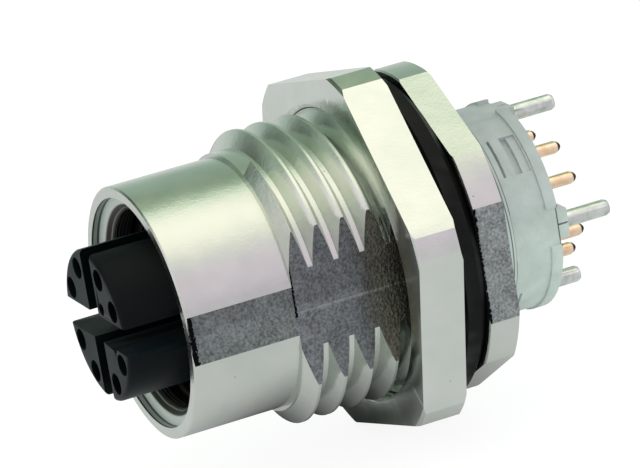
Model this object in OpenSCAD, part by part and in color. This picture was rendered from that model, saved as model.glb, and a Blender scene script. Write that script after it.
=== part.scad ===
// Panel-mount M12 X-coded socket with solder pins for a circuit board.
// Every sub-part is drawn along a local axis that runs from the plug side to the board side.
// That axis is then laid along +Y, so the plug comes in from -Y and +Z points up.
// The origin is the centre of the flange's front face, where the panel is clamped.

/* [Housing] */
// Outer diameter of the smooth front sleeve
sleeve_d = 13.8; // [13:0.1:14]
// Length of the smooth front sleeve
sleeve_len = 6.05; // [4:0.05:9]
// Chamfer round the sleeve's front edge
rim_chamfer = 0.2; // [0.05:0.05:0.3]
// Outside diameter of the panel thread, over its crests
thread_d = 16; // [15.6:0.1:16.6]
// Diameter at the root of the panel thread
thread_root_d = 14.2; // [14:0.1:14.6]
// Pitch of the panel thread
thread_pitch = 1.5; // [1.25:0.25:2]
// Length of the threaded part
thread_len = 8.3; // [6:0.1:12]
// Distance across the two cast flats that cut through sleeve and thread
flats_across = 13.54; // [13.3:0.02:13.7]
// Length of the plain neck under the flange seal
neck_len = 1.7; // [1.7:0.1:3]
// Diameter of the plain neck
neck_d = 14; // [13.6:0.1:14.2]
// Distance that the flange's flats stand out from the neck
flange_lip = 1.5; // [1.3:0.05:2]
// Distance that the flange's turned corners stand out from the neck
flange_corner_lip = 2.08; // [1.9:0.02:2.5]
// Thickness of the flange
flange_t = 1.8; // [1:0.1:3]
// Turned chamfer on the flange's corners
flange_chamfer = 0.06; // [0.04:0.02:0.3]

/* [Plug side bore] */
// Diameter of the shallow step in the rim
rim_step_d = 12.6; // [12.4:0.1:12.8]
// Depth of the shallow step in the rim
rim_step_depth = 0.3; // [0.1:0.05:0.5]
// Diameter of the plain lead-in bore
lead_d = 12.1; // [12:0.05:12.3]
// Depth of the plain lead-in bore, from the rim
lead_depth = 1.0; // [0.7:0.1:2]
// Core diameter of the M12 x 1 plug thread
plug_thread_core_d = 10.92; // [10.8:0.02:11]
// Depth of the plug bore, from the rim to its floor
plug_bore_depth = 9.05; // [8:0.05:11]
// Thickness of the web that the carrier seats against
web_t = 1.2; // [0.8:0.1:1.6]
// Diameter of the bore behind the web
rear_bore_d = 11.5; // [11.3:0.1:12]

/* [Hex nut] */
// Width across the nut's flats
nut_af = 19; // [18.4:0.1:20]
// Diameter to which the nut's corners are turned
nut_corner_d = 21.2; // [20.6:0.1:21.8]
// Thickness of the nut
nut_t = 2.8; // [1.8:0.05:3.2]
// Turned chamfer on the corners of the nut's front face
nut_chamfer = 0.4; // [0.1:0.05:0.5]
// Turned chamfer on the corners of its back face
nut_back_chamfer = 0.12; // [0.04:0.02:0.3]
// Radial room between the nut's bore and the thread crests
nut_slip = 0.05; // [0.03:0.01:0.1]
// Depth of the countersink at both ends of the nut's bore
nut_countersink = 0.45; // [0.2:0.05:0.7]
// Angle by which the nut is turned from the flange
nut_turn = 16.6; // [-30:0.1:30]

/* [Seals] */
// Thickness of the flange seal along the axis
flange_seal_t = 1.6; // [1.2:0.05:1.65]
// Width of the flange seal from its inside to its outside
flange_seal_w = 2; // [1.4:0.1:2.1]
// Chamfer on the flange seal's edges
flange_seal_chamfer = 0.4; // [0.1:0.05:0.5]
// Cord diameter of the small seal round the carrier
carrier_seal_cord = 0.8; // [0.6:0.05:0.8]
// Gap that keeps a seal off the metal it lies against
seal_gap = 0.02; // [0.01:0.01:0.05]

/* [Contact carrier] */
// Diameter of the four-lobed mating face
carrier_d = 8.3; // [8.2:0.05:8.4]
// Distance that the mating face stands proud of the rim
carrier_proud = 2.5; // [1:0.1:4]
// Width of the wide slot, which runs towards the flats
wide_slot = 1.5; // [1.2:0.05:1.55]
// Width of the narrow slot across it
narrow_slot = 1.3; // [1.1:0.05:1.5]
// Thickness of the bridge between the slots' floor and the housing's web
slot_bridge = 1.0; // [0.6:0.1:2]
// Thickness of the carrier's base
base_t = 3; // [2.6:0.1:4]
// Radial room round the carrier in the housing
carrier_slip = 0.05; // [0.03:0.01:0.1]
// Width of the groove for the carrier's seal
seal_groove_w = 1; // [0.9:0.05:1.2]
// Diameter of the small blind mark in one lobe
mark_d = 0.7; // [0.4:0.05:0.8]
// Depth of the small blind mark
mark_depth = 0.3; // [0.1:0.05:0.6]
// Distance of the mark from the axis
mark_at = 1.75; // [1.5:0.05:1.9]
// Radius of the coding groove in one wall of the wide slot
key_r = 0.25; // [0.15:0.05:0.3]
// Distance of the coding groove from the axis
key_at = 2.2; // [1.8:0.05:2.3]

/* [Contacts] */
// Diameter of the circle on which the contacts lie
contact_circle_d = 6.5; // [6.4:0.05:6.6]
// Angle between the two contacts of a pair
pair_angle = 36; // [35.5:0.5:37]
// Diameter of a socket hole in the mating face
socket_hole_d = 1.2; // [1.1:0.02:1.24]
// Outer diameter of a contact's barrel
barrel_d = 1.1; // [1:0.02:1.14]
// Bore of a contact's barrel
barrel_bore_d = 0.8; // [0.7:0.02:0.84]
// Depth of a contact's bore
barrel_bore_depth = 5.5; // [4:0.5:7]
// Distance of a barrel's mouth behind the mating face
barrel_recess = 0.8; // [0.4:0.1:1.5]
// Width of the slit that lets the barrel spring
barrel_slit = 0.14; // [0.1:0.02:0.2]
// Length of the slit
barrel_slit_len = 3.5; // [2:0.5:4]
// Diameter of the collar that holds a contact
collar_d = 1.4; // [1.3:0.05:1.45]
// Length of that collar
collar_len = 1; // [0.6:0.1:1.5]
// Diameter of the stem that the rear insulator holds
stem_d = 1.1; // [1.06:0.02:1.2]
// Diameter of a solder pin
pin_d = 0.7; // [0.6:0.02:0.74]
// Distance that the solder pins stand beyond the board face
pin_out = 2; // [1.5:0.1:4]
// Length of the tapered tip of a solder pin
pin_taper = 0.35; // [0.2:0.05:0.5]
// Diameter at the very tip of a solder pin
pin_tip_d = 0.4; // [0.3:0.02:0.5]
// Radial room round a contact in its holes
contact_slip = 0.03; // [0.02:0.01:0.05]

/* [Shield cross] */
// Thickness of the cross's plates
cross_t = 0.5; // [0.4:0.05:0.6]
// Width of the cross from edge to edge
cross_w = 7.9; // [7.4:0.1:7.9]
// Width of its narrower front, which reaches the slots' floor
cross_front_w = 6.6; // [5:0.1:7]
// Room on each side of the cross's plates
cross_slip = 0.03; // [0.02:0.01:0.05]
// Thickness of the insulator's floor behind the cross
cross_cover = 1.05; // [0.8:0.05:1.5]

/* [Rear insulator] */
// Thickness of the insulator's front collar
insulator_collar_t = 1.4; // [1:0.1:2]
// Distance of the insulator's back below the shield ring's rear edge
insulator_recess = 1; // [0.5:0.1:1.5]

/* [Shield ring] */
// Outer diameter of the shield ring
ring_d = 11.4; // [11.2:0.05:11.4]
// Inner diameter of the shield ring
ring_bore_d = 8.6; // [8.5:0.05:8.7]
// Distance that the ring stands behind the flange
ring_out = 4.3; // [3.5:0.1:7]
// Outer diameter of the ring's shoulder behind the flange
shoulder_d = 11.56; // [11.4:0.02:11.9]
// Length of that shoulder
shoulder_len = 1.5; // [0.6:0.05:1.7]
// Outer diameter of the ring's rear bead
bead_d = 11.64; // [11.4:0.02:11.9]
// Width of the rear bead
bead_w = 0.65; // [0.4:0.05:0.8]
// Distance from the axis to the four flat pads
pad_at = 5.52; // [5.48:0.01:5.6]
// Height of the split blocks that carry the shield pins
block_h = 0.6; // [0.3:0.05:1]
// Width of those blocks
block_w = 1.6; // [1.4:0.05:1.8]
// Distance from the axis to the inner face of those blocks
block_inner = 4.4; // [4.35:0.01:4.45]
// Width of the gap in the bead at each block
bead_gap = 2.1; // [1.8:0.1:2.6]
// Width of the split in each block
block_split = 0.1; // [0.06:0.02:0.16]
// Angle covered by the latch pocket
pocket_angle = 24; // [16:1:28]
// Depth of the latch pocket
pocket_depth = 0.35; // [0.2:0.05:0.5]
// Length of the latch pocket along the axis
pocket_len = 0.45; // [0.3:0.05:0.6]
// Length of the shallow ledge beside the pocket
ledge_len = 0.45; // [0.3:0.05:0.6]
// Depth of that ledge
ledge_depth = 0.12; // [0.05:0.01:0.2]
// Distance from the ledge to the bead
ledge_to_bead = 0.1; // [0.05:0.05:0.2]
// Width of the narrow slots near the flange
vent_w = 0.16; // [0.1:0.02:0.3]
// Depth of the narrow slots
vent_depth = 0.3; // [0.2:0.05:0.4]
// Angle covered by the short narrow slots, between the latch pockets
vent_short_angle = 14; // [10:1:24]
// Distance of the narrow slots behind the flange
vent_at = 2; // [1.5:0.1:2.2]
// Radial room round the ring in the housing
ring_slip = 0.05; // [0.03:0.01:0.1]

/* [Shield pins] */
// Diameter of the circle on which the shield pins lie
shield_circle_d = 9.9; // [9.86:0.02:10]
// Diameter of a shield pin
shield_pin_d = 0.9; // [0.8:0.02:0.92]
// Distance that the shield pins stand beyond the board face
shield_pin_out = 2.7; // [1.5:0.05:5]
// Rounding of a shield pin's end
shield_pin_round = 0.25; // [0.1:0.05:0.4]
// Depth to which a shield pin is set into the ring
shield_pin_set = 3.5; // [2:0.1:4]
// Width of the square shank that is pressed into the ring
shank_w = 0.63; // [0.5:0.01:0.64]
// Radial room round a shield pin in its hole
shield_pin_slip = 0.01; // [0.01:0.01:0.02]

/* [Hidden] */
// Places along the local axis, from the flange's front face
thread_front = -(neck_len + thread_len);
rim = thread_front - sleeve_len;
mating_face = rim - carrier_proud;
web_front = rim + plug_bore_depth;
web_back = web_front + web_t;
base_back = web_back + base_t;
collar_back = base_back + insulator_collar_t;
flange_back = flange_t;
ring_back = flange_back + ring_out;
board_face = ring_back + block_h;
insulator_back = ring_back - insulator_recess;
slot_floor = web_front - slot_bridge;
cross_back = insulator_back - cross_cover;
nut_back = -neck_len;
nut_front = nut_back - nut_t;
barrel_mouth = mating_face + barrel_recess;
collar_front = base_back - collar_len;
pin_tip = board_face + pin_out;
bead_front = ring_back - bead_w;
ledge_back = bead_front - ledge_to_bead;
pocket_back = ledge_back - ledge_len;
shoulder_front = flange_back + ring_slip;
shield_pin_foot = board_face - shield_pin_set;
shield_pin_tip = board_face + shield_pin_out;

// Diameters and radii that follow from the sizes above
flange_af = neck_d + 2 * flange_lip;
flange_corner_d = neck_d + 2 * flange_corner_lip;
carrier_bore_d = carrier_d + 2 * carrier_slip;
base_d = rear_bore_d - 2 * carrier_slip;
ring_fit_d = rear_bore_d - 2 * ring_slip;
groove_floor_r = base_d / 2 - carrier_seal_cord;
nut_bore_d = thread_d + 2 * nut_slip;

// Radial width of a hexagon's chamfer, for 1 mm along the axis
chamfer_slope = 1.7;

// Form of the panel thread
thread_sides = 30;
crest_flat = thread_pitch / 16;
thread_sink = 0.12;
flank_spread = tan(30);
thread_start_turn = 284;
// Distance of the first crest behind the shoulder, where the thread starts
thread_lead_in = 0.23;
thread_run_out = 0.6;
thread_turns = (thread_len - thread_lead_in - thread_run_out) / thread_pitch;

// Angles of the four lobes, the eight contacts and the four shield pins
lobe_turns = [for (i = [0:3]) 45 + 90 * i];
contact_turns = [for (turn = lobe_turns, side = [-1, 1]) turn + side * pair_angle / 2];
pin_turns = [for (i = [0:3]) 90 * i];
mark_lobe = 3;
pocket_lobes = [1, 3];
vent_lobes = [0, 2];

// Room that lets one cutting shape pass the surface that it cuts
over = 0.5;

// Facets round large and small circles
round_fn = 96;
small_fn = 48;

// Lays the local axis along +Y
module along_y() {
    rotate([-90, 0, 0])
        children();
}

// Moves its children to a place on a circle round the axis
module at_circle(d, turn) {
    rotate([0, 0, turn])
        translate([d / 2, 0, 0])
            children();
}

// Round disc from one place on the axis to another
module disc(d, from, to, fn = round_fn) {
    translate([0, 0, from])
        cylinder(d = d, h = to - from, $fn = fn);
}

// Hexagon with its corners turned round, and a chamfer of its own on each face's corners
module hexagon(af, corner_d, from, to, front_chamfer, back_chamfer) {
    height = to - from;
    r = corner_d / 2;
    intersection() {
        translate([0, 0, from])
            cylinder(r = af / 2 / cos(30), h = height, $fn = 6);
        translate([0, 0, from])
            rotate_extrude($fn = round_fn)
                polygon([
                    [0, 0],
                    [r - chamfer_slope * front_chamfer, 0],
                    [r, front_chamfer],
                    [r, height - back_chamfer],
                    [r - chamfer_slope * back_chamfer, height],
                    [0, height]
                ]);
    }
}

// Corners of the thread's ridge in one plane through the axis: foot, crest, crest, foot
function ridge_section(turn, along) =
    let (
        foot_r = thread_root_d / 2 - thread_sink,
        crest_r = thread_d / 2,
        foot_half = crest_flat + (crest_r - foot_r) * flank_spread
    )
    [
        for (corner = [
            [foot_r, -foot_half], [crest_r, -crest_flat],
            [crest_r, crest_flat], [foot_r, foot_half]
        ])
            [corner[0] * cos(turn), corner[0] * sin(turn), along + corner[1]]
    ];

// The ridge of the panel thread, swept along its helix as one closed solid
module thread_ridge() {
    steps = ceil(thread_turns * thread_sides);
    points = [
        for (i = [0:steps])
            each ridge_section(
                thread_start_turn + i * 360 / thread_sides,
                thread_front + thread_lead_in + i * thread_pitch / thread_sides
            )
    ];
    walls = [
        for (i = [0:steps - 1], j = [0:3])
            let (a = 4 * i + j, b = 4 * i + (j + 1) % 4)
                each [[a, b, b + 4], [a, b + 4, a + 4]]
    ];
    first_end = [3, 2, 1, 0];
    last_end = [for (j = [0:3]) 4 * steps + j];
    polyhedron(points = points, faces = concat(walls, [first_end, last_end]), convexity = 10);
}

// Keeps what lies between two places on the axis and inside the cast flats
module between_flats(from, to) {
    intersection() {
        children();
        translate([-flats_across / 2, -thread_d, from])
            cube([flats_across, 2 * thread_d, to - from]);
    }
}

// Smooth sleeve with its chamfered rim
module sleeve() {
    translate([0, 0, rim])
        cylinder(d1 = sleeve_d - 2 * rim_chamfer, d2 = sleeve_d, h = rim_chamfer, $fn = round_fn);
    disc(sleeve_d, rim + rim_chamfer, thread_front);
}

// Sleeve and thread, cut by the two cast flats
module front_body() {
    between_flats(rim, thread_front)
        sleeve();
    between_flats(thread_front, -neck_len)
        union() {
            disc(thread_root_d, thread_front, -neck_len);
            thread_ridge();
        }
}

// Bore of the housing, from the rim to the back of the flange
module housing_bore() {
    rotate_extrude($fn = round_fn)
        polygon([
            [0, rim - over],
            [rim_step_d / 2, rim - over],
            [rim_step_d / 2, rim + rim_step_depth],
            [lead_d / 2, rim + rim_step_depth],
            [lead_d / 2, rim + lead_depth],
            [plug_thread_core_d / 2, rim + lead_depth + (lead_d - plug_thread_core_d) / 2],
            [plug_thread_core_d / 2, web_front],
            [carrier_bore_d / 2, web_front],
            [carrier_bore_d / 2, web_back],
            [rear_bore_d / 2, web_back],
            [rear_bore_d / 2, flange_back + over],
            [0, flange_back + over]
        ]);
}

module housing() {
    color("silver")
        along_y()
            difference() {
                union() {
                    front_body();
                    disc(neck_d, -neck_len, 0);
                    rotate([0, 0, 30])
                        hexagon(flange_af, flange_corner_d, 0, flange_back, flange_chamfer, flange_chamfer);
                }
                housing_bore();
            }
}

module hex_nut() {
    bore_r = nut_bore_d / 2;
    sink = nut_countersink;
    color("lightgray")
        along_y()
            difference() {
                rotate([0, 0, 30 + nut_turn])
                    hexagon(nut_af, nut_corner_d, nut_front, nut_back, nut_chamfer, nut_back_chamfer);
                rotate_extrude($fn = round_fn)
                    polygon([
                        [0, nut_front - over],
                        [bore_r + sink + over, nut_front - over],
                        [bore_r, nut_front + sink],
                        [bore_r, nut_back - sink],
                        [bore_r + sink + over, nut_back + over],
                        [0, nut_back + over]
                    ]);
            }
}

// Ring of round cord whose inside lies just off a given radius
module cord_ring(inner_r, cord, middle) {
    translate([0, 0, middle])
        rotate_extrude($fn = round_fn)
            translate([inner_r + seal_gap + cord / 2, 0])
                circle(d = cord, $fn = small_fn);
}

// Flat ring of rubber with chamfered edges, midway along the neck
module flange_seal() {
    inner_r = neck_d / 2 + seal_gap;
    outer_r = inner_r + flange_seal_w;
    half = flange_seal_t / 2;
    edge = flange_seal_chamfer;
    color("black")
        along_y()
            translate([0, 0, -neck_len / 2])
                rotate_extrude($fn = round_fn)
                    polygon([
                        [inner_r + edge, -half],
                        [outer_r - edge, -half],
                        [outer_r, edge - half],
                        [outer_r, half - edge],
                        [outer_r - edge, half],
                        [inner_r + edge, half],
                        [inner_r, half - edge],
                        [inner_r, edge - half]
                    ]);
}

// Two crossed plates, as wide as given, from one place on the axis to another
module crossed_plates(width, thickness, from, to) {
    for (size = [[width, thickness], [thickness, width]])
        translate([-size[0] / 2, -size[1] / 2, from])
            cube([size[0], size[1], to - from]);
}

// Shape of the shield cross, or with slip above 0 of the seat that holds it
module cross_form(slip, from, to) {
    grow = 2 * slip;
    crossed_plates(cross_front_w + grow, cross_t + grow, from, web_back);
    crossed_plates(cross_w + grow, cross_t + grow, web_back, to);
}

// The four open slots between the lobes
module lobe_slots() {
    depth = slot_floor - mating_face + over;
    translate([-carrier_d, -wide_slot / 2, mating_face - over])
        cube([2 * carrier_d, wide_slot, depth]);
    translate([-narrow_slot / 2, -carrier_d, mating_face - over])
        cube([narrow_slot, 2 * carrier_d, depth]);
}

// Stepped hole for one contact
module contact_hole(turn) {
    at_circle(contact_circle_d, turn) {
        disc(socket_hole_d, mating_face - over, base_back + over, small_fn);
        disc(collar_d + 2 * contact_slip, collar_front, base_back + over, small_fn);
    }
}

// Groove round the carrier's base for its seal
module seal_groove() {
    middle = (web_back + base_back) / 2;
    difference() {
        disc(base_d + 2 * over, middle - seal_groove_w / 2, middle + seal_groove_w / 2);
        disc(2 * groove_floor_r, middle - seal_groove_w, middle + seal_groove_w);
    }
}

module contact_carrier() {
    color("dimgray")
        along_y()
            difference() {
                union() {
                    disc(carrier_d, mating_face, web_back);
                    disc(base_d, web_back, base_back);
                }
                seal_groove();
                lobe_slots();
                cross_form(cross_slip, slot_floor - over, base_back + over);
                for (turn = contact_turns)
                    contact_hole(turn);
                at_circle(2 * mark_at, lobe_turns[mark_lobe])
                    disc(mark_d, mating_face - over, mating_face + mark_depth, small_fn);
                translate([key_at, wide_slot / 2, 0])
                    disc(2 * key_r, mating_face - over, slot_floor, small_fn);
            }
}

module carrier_seal() {
    color("black")
        along_y()
            cord_ring(groove_floor_r, carrier_seal_cord, (web_back + base_back) / 2);
}

// One contact: a slit socket barrel, a collar, a stem and a solder pin, turned in one piece
module contact(turn) {
    bore_r = barrel_bore_d / 2;
    bore_end = barrel_mouth + barrel_bore_depth;
    color("gold")
        along_y()
            at_circle(contact_circle_d, turn)
                difference() {
                    rotate_extrude($fn = small_fn)
                        polygon([
                            [bore_r, barrel_mouth],
                            [barrel_d / 2, barrel_mouth],
                            [barrel_d / 2, collar_front],
                            [collar_d / 2, collar_front],
                            [collar_d / 2, base_back],
                            [stem_d / 2, base_back],
                            [stem_d / 2, insulator_back],
                            [pin_d / 2, insulator_back],
                            [pin_d / 2, pin_tip - pin_taper],
                            [pin_tip_d / 2, pin_tip],
                            [0, pin_tip],
                            [0, bore_end + bore_r],
                            [bore_r, bore_end]
                        ]);
                    translate([-barrel_slit / 2, -barrel_d, barrel_mouth - over])
                        cube([barrel_slit, 2 * barrel_d, barrel_slit_len + over]);
                }
}

module shield_cross() {
    color("darkgray")
        along_y()
            cross_form(0, slot_floor, cross_back);
}

module rear_insulator() {
    color("dimgray")
        along_y()
            difference() {
                union() {
                    disc(base_d, base_back, collar_back);
                    disc(ring_bore_d - 2 * ring_slip, collar_back, insulator_back);
                }
                cross_form(cross_slip, slot_floor, cross_back);
                for (turn = contact_turns)
                    at_circle(contact_circle_d, turn)
                        disc(stem_d + 2 * contact_slip, base_back - over, insulator_back + over, small_fn);
            }
}

// Sector-shaped cut from a radius outwards, centred on a turn
module sector_cut(inner_r, turn, angle, from, to) {
    rotate([0, 0, turn - angle / 2])
        translate([0, 0, from])
            rotate_extrude(angle = angle, $fn = round_fn)
                translate([inner_r, 0])
                    square([ring_d / 2 + over - inner_r, to - from]);
}

// Latch pocket with its shallow ledge, and the narrow slot in front of it
module latch_cuts(turn) {
    outer_r = ring_d / 2;
    sector_cut(outer_r - pocket_depth, turn, pocket_angle, pocket_back - pocket_len, pocket_back);
    sector_cut(outer_r - ledge_depth, turn, pocket_angle, pocket_back, ledge_back);
    vent_cut(turn, pocket_angle);
}

module vent_cut(turn, angle) {
    from = flange_back + vent_at - vent_w / 2;
    sector_cut(ring_d / 2 - vent_depth, turn, angle, from, from + vent_w);
}

// Everything outside the flat pad that faces a given turn
module pad_cut(turn, width, from, to) {
    rotate([0, 0, turn])
        translate([pad_at, -width / 2, from])
            cube([bead_d, width, to - from]);
}

// Split block that stands on the ring's rear edge round a shield pin
module pin_block(turn) {
    rotate([0, 0, turn])
        difference() {
            translate([block_inner, -block_w / 2, ring_back])
                cube([pad_at - block_inner, block_w, block_h]);
            translate([shield_circle_d / 2, -block_split / 2, ring_back])
                cube([bead_d, block_split, block_h + over]);
        }
}

module shield_ring() {
    color("lightsteelblue")
        along_y()
            difference() {
                union() {
                    difference() {
                        union() {
                            disc(ring_fit_d, collar_back, flange_back);
                            disc(ring_d, flange_back, ring_back);
                        }
                        for (turn = pin_turns)
                            pad_cut(turn, ring_d, flange_back, ring_back + over);
                    }
                    disc(shoulder_d, shoulder_front, shoulder_front + shoulder_len);
                    difference() {
                        disc(bead_d, bead_front, ring_back);
                        for (turn = pin_turns)
                            pad_cut(turn, bead_gap, bead_front - over, ring_back + over);
                    }
                    for (turn = pin_turns)
                        pin_block(turn);
                }
                disc(ring_bore_d, collar_back - over, ring_back + over);
                for (i = pocket_lobes)
                    latch_cuts(lobe_turns[i]);
                for (i = vent_lobes)
                    vent_cut(lobe_turns[i], vent_short_angle);
                for (turn = pin_turns)
                    at_circle(shield_circle_d, turn)
                        disc(shield_pin_d + 2 * shield_pin_slip, shield_pin_foot, board_face + over, small_fn);
            }
}

// Round pin with a rounded end, on a square shank that is pressed into the ring
module shield_pin(turn) {
    r = shield_pin_d / 2;
    soft = shield_pin_round;
    color("gainsboro")
        along_y()
            at_circle(shield_circle_d, turn) {
                translate([-shank_w / 2, -shank_w / 2, shield_pin_foot])
                    cube([shank_w, shank_w, shield_pin_set]);
                rotate_extrude($fn = small_fn)
                    polygon([
                        [0, board_face],
                        [r, board_face],
                        [r, shield_pin_tip - soft],
                        [r - 0.3 * soft, shield_pin_tip - 0.3 * soft],
                        [r - soft, shield_pin_tip],
                        [0, shield_pin_tip]
                    ]);
            }
}

housing();
hex_nut();
flange_seal();
contact_carrier();
carrier_seal();
contact(contact_turns[0]);  // contact_1
contact(contact_turns[1]);  // contact_2
contact(contact_turns[2]);  // contact_3
contact(contact_turns[3]);  // contact_4
contact(contact_turns[4]);  // contact_5
contact(contact_turns[5]);  // contact_6
contact(contact_turns[6]);  // contact_7
contact(contact_turns[7]);  // contact_8
shield_cross();
rear_insulator();
shield_ring();
shield_pin(pin_turns[0]);  // shield_pin_1
shield_pin(pin_turns[1]);  // shield_pin_2
shield_pin(pin_turns[2]);  // shield_pin_3
shield_pin(pin_turns[3]);  // shield_pin_4
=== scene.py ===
import math

import bpy
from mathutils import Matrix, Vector


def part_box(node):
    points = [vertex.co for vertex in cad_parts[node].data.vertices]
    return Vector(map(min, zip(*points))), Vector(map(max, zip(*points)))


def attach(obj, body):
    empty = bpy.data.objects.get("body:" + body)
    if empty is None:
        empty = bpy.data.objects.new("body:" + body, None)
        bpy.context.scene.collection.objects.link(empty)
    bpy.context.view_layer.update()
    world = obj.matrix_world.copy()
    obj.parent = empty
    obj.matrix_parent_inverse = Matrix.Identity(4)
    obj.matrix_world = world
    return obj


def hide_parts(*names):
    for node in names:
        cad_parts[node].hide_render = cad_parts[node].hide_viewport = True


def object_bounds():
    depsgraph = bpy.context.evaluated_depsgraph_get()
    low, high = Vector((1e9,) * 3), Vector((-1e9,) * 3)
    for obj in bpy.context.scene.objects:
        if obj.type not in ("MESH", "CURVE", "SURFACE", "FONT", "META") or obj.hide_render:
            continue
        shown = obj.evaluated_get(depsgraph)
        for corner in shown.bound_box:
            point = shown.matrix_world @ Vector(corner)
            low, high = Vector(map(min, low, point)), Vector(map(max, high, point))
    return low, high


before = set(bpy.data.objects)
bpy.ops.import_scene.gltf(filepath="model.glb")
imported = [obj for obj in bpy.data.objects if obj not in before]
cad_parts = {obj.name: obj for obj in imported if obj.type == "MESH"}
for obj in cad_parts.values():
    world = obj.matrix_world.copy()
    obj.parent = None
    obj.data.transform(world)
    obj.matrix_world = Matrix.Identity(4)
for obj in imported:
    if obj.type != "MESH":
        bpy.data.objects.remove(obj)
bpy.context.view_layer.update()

# Pieces are drawn in millimetres round the Y axis and brought to metres when they are done.
metresPerMm = 0.001
mergeDistance = 0.0004   # mm
flatWithin = 0.4         # degrees between faces that are joined into one
clear = 1                # mm by which a cutter reaches past what it cuts
noiseLow, noiseHigh = 0.3, 0.7   # what a noise texture mostly stays within


def placeOf(node):
    low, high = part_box(node)
    return low / metresPerMm, high / metresPerMm


def pickOnly(piece):
    bpy.ops.object.select_all(action="DESELECT")
    piece.select_set(True)
    bpy.context.view_layer.objects.active = piece


def startEditing(piece):
    pickOnly(piece)
    bpy.ops.object.mode_set(mode="EDIT")
    bpy.ops.mesh.select_all(action="SELECT")


def stopEditing():
    bpy.ops.object.mode_set(mode="OBJECT")


def mergeAndTurnOutwards(piece):
    startEditing(piece)
    bpy.ops.mesh.remove_doubles(threshold=mergeDistance)
    bpy.ops.mesh.normals_make_consistent(inside=False)
    stopEditing()


def drawLine(name, points):
    # points are distance from the axis and place along it; a closed line ends where it starts
    bpy.ops.object.select_all(action="DESELECT")
    bpy.ops.mesh.primitive_plane_add(size=1)
    piece = bpy.context.object
    piece.name = name
    bpy.ops.object.mode_set(mode="EDIT")
    bpy.ops.mesh.merge(type="CENTER")
    bpy.ops.transform.translate(value=(*points[0], 0))
    for here, there in zip(points, points[1:]):
        step = (there[0] - here[0], there[1] - here[1], 0)
        bpy.ops.mesh.extrude_region_move(TRANSFORM_OT_translate={"value": step})
    bpy.ops.mesh.select_all(action="SELECT")
    bpy.ops.mesh.remove_doubles(threshold=mergeDistance)
    stopEditing()
    return piece


def turnOnLathe(name, points, steps):
    piece = drawLine(name, points)
    startEditing(piece)
    bpy.ops.mesh.spin(steps=steps, angle=2 * math.pi, center=(0, 0, 0), axis=(0, 1, 0))
    stopEditing()
    mergeAndTurnOutwards(piece)
    return piece


def turnAboutAxis(piece, degrees):
    # from +X towards +Z
    startEditing(piece)
    bpy.ops.transform.rotate(value=math.radians(degrees), orient_axis="Y", center_override=(0, 0, 0))
    stopEditing()


def sweepThread(name, section, startTurn, pitch, turns, stepsPerTurn):
    # section is a closed line at the place where the thread starts
    piece = drawLine(name, section)
    turnAboutAxis(piece, startTurn)
    sweep = piece.modifiers.new("sweep", "SCREW")
    sweep.axis = "Y"
    sweep.angle = 2 * math.pi * turns
    sweep.screw_offset = pitch * turns
    sweep.steps = round(stepsPerTurn * turns)
    sweep.render_steps = sweep.steps
    sweep.use_smooth_shade = False
    applyAll(piece)
    startEditing(piece)
    bpy.ops.mesh.fill_holes(sides=0)
    stopEditing()
    mergeAndTurnOutwards(piece)
    return piece


def applyAll(piece):
    pickOnly(piece)
    for modifier in list(piece.modifiers):
        bpy.ops.object.modifier_apply(modifier=modifier.name)


def combine(piece, tool, operation):
    shape = piece.modifiers.new("shape", "BOOLEAN")
    shape.operation = operation
    shape.solver = "EXACT"
    shape.object = tool
    applyAll(piece)
    bpy.data.objects.remove(tool)


def makeBlock(name, low, high):
    size = Vector(high) - Vector(low)
    bpy.ops.object.select_all(action="DESELECT")
    bpy.ops.mesh.primitive_cube_add(size=1)
    piece = bpy.context.object
    piece.name = name
    bpy.ops.object.mode_set(mode="EDIT")
    bpy.ops.transform.resize(value=size)
    bpy.ops.transform.translate(value=(Vector(low) + Vector(high)) / 2)
    stopEditing()
    return piece


def makeHexagon(name, acrossFlats, cornerTurn, low, high):
    halfSide = 30            # degrees from a corner to the middle of a flat
    bpy.ops.object.select_all(action="DESELECT")
    cornerRadius = acrossFlats / 2 / math.cos(math.radians(halfSide))
    bpy.ops.mesh.primitive_cylinder_add(vertices=6, radius=cornerRadius, depth=high - low)
    piece = bpy.context.object
    piece.name = name
    bpy.ops.object.mode_set(mode="EDIT")
    bpy.ops.transform.rotate(value=math.radians(90), orient_axis="X", center_override=(0, 0, 0))
    bpy.ops.transform.translate(value=(0, (low + high) / 2, 0))
    stopEditing()
    turnAboutAxis(piece, cornerTurn - halfSide)   # as it was added, a corner is at 30 degrees
    return piece


def softenEdges(piece, width, angle=35):
    # rounds the edges between faces that turn by more than the angle
    edges = piece.modifiers.new("edges", "BEVEL")
    edges.width = width
    edges.segments = 2
    edges.limit_method = "ANGLE"
    edges.angle_limit = math.radians(angle)
    edges.use_clamp_overlap = True
    applyAll(piece)


def copyNode(name, node, joinFaces=True):
    # a copy of the solid's mesh in millimetres, with its triangles joined where they lie flat
    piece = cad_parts[node].copy()
    piece.data = piece.data.copy()
    piece.name = name
    piece.parent = None
    for key in [key for key in piece.keys() if key.startswith("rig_")]:
        del piece[key]
    piece.data.materials.clear()
    bpy.context.scene.collection.objects.link(piece)
    startEditing(piece)
    bpy.ops.transform.resize(value=[1 / metresPerMm] * 3, center_override=(0, 0, 0))
    bpy.ops.mesh.remove_doubles(threshold=mergeDistance)
    if joinFaces:
        bpy.ops.mesh.dissolve_limited(angle_limit=math.radians(flatWithin))
    stopEditing()
    return piece


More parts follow.
